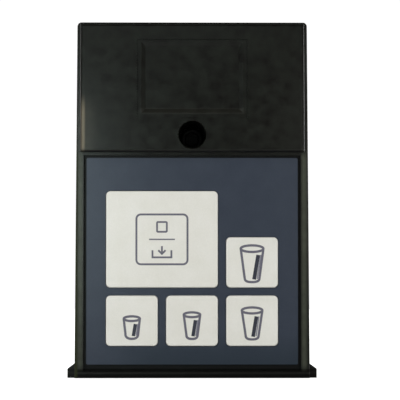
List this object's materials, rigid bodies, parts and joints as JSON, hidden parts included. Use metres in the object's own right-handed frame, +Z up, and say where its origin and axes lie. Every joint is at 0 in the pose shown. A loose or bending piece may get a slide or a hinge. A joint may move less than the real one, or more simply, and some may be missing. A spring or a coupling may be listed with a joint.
{
  "type": "beverage valve keypad module",
  "caption": "Black moulded keypad module for the front of a fountain drink valve, with sprung portion keys, a slate panel and a captive retaining screw.",
  "frame": {"origin": "bottom centre of the module's bounding box, on the flat bottom face", "axes": "+Z up, +Y to the rear towards the valve, so the keypad faces -Y, +X to the right seen from the front"},
  "size_m": [0.0792, 0.0458, 0.113],
  "materials": {
    "housing_black": "fine moulded texture, satin",
    "overlay_slate": "satin graphic film",
    "key_ivory": "satin, warm white",
    "silicone": "translucent grey silicone",
    "seal_rubber": "black rubber",
    "screw_steel": "zinc plated",
    "nylon": "natural nylon",
    "board_green": "green solder mask",
    "contact_gold": "gold flash",
    "component_black": "moulded epoxy",
    "capacitor_sleeve": "shrink sleeve",
    "can_metal": "satin",
    "varistor_blue": "epoxy coat",
    "connector_nylon": "natural nylon"
  },
  "bodies": {
    "housing": {"front_housing": "housing_black", "rear_cover": "housing_black", "keypad_overlay": "overlay_slate", "dome_stop_fill": "silicone", "dome_small": "silicone", "dome_medium": "silicone", "dome_large": "silicone", "dome_extra_large": "silicone", "switch_mat": "silicone", "cover_gasket": "seal_rubber", "well_seal": "seal_rubber", "rear_cover_screws": "screw_steel", "board_screws": "screw_steel", "board_standoffs": "screw_steel", "captive_washer": "nylon", "keypad_board": "board_green", "control_board": "board_green", "contact_pads": "contact_gold", "connector_pins": "contact_gold", "microcontroller": "component_black", "rectifier_diodes": "component_black", "link_header": "component_black", "solenoid_triacs": "component_black", "voltage_regulator": "component_black", "resistors": "component_black", "filter_capacitors": "capacitor_sleeve", "resonator": "can_metal", "surge_suppressor": "varistor_blue", "connector_shell": "connector_nylon"},
    "stop_fill_key": {"key_stop_fill": "key_ivory"},
    "small_key": {"key_small": "key_ivory"},
    "medium_key": {"key_medium": "key_ivory"},
    "large_key": {"key_large": "key_ivory"},
    "extra_large_key": {"key_extra_large": "key_ivory"},
    "screw_washer_body": {"screw_washer": "screw_steel"},
    "screw_body": {"retaining_screw": "screw_steel"}
  },
  "joints": [
    {"name": "stop_fill_press", "type": "slide", "parent": "housing", "child": "stop_fill_key", "axis": [0, 1, 0], "range_m": [0, 0.001], "stiffness_N_per_m": 1400, "deforming": ["dome_stop_fill"]},
    {"name": "small_press", "type": "slide", "parent": "housing", "child": "small_key", "axis": [0, 1, 0], "range_m": [0, 0.001], "stiffness_N_per_m": 1400, "deforming": ["dome_small"]},
    {"name": "medium_press", "type": "slide", "parent": "housing", "child": "medium_key", "axis": [0, 1, 0], "range_m": [0, 0.001], "stiffness_N_per_m": 1400, "deforming": ["dome_medium"]},
    {"name": "large_press", "type": "slide", "parent": "housing", "child": "large_key", "axis": [0, 1, 0], "range_m": [0, 0.001], "stiffness_N_per_m": 1400, "deforming": ["dome_large"]},
    {"name": "extra_large_press", "type": "slide", "parent": "housing", "child": "extra_large_key", "axis": [0, 1, 0], "range_m": [0, 0.001], "stiffness_N_per_m": 1400, "deforming": ["dome_extra_large"]},
    {"name": "screw_travel", "type": "slide", "parent": "housing", "child": "screw_washer_body", "axis": [0, 1, 0], "range_m": [-0.0072, 0]},
    {"name": "screw_turn", "type": "hinge", "parent": "screw_washer_body", "child": "screw_body", "pos_m": [0, 0, 0.0771], "axis": [0, 1, 0], "range_deg": [-3240, 0]}
  ],
  "couplings": [
    {"joint": "screw_turn", "follows": "screw_travel", "rad_per_m": 7854}
  ]
}
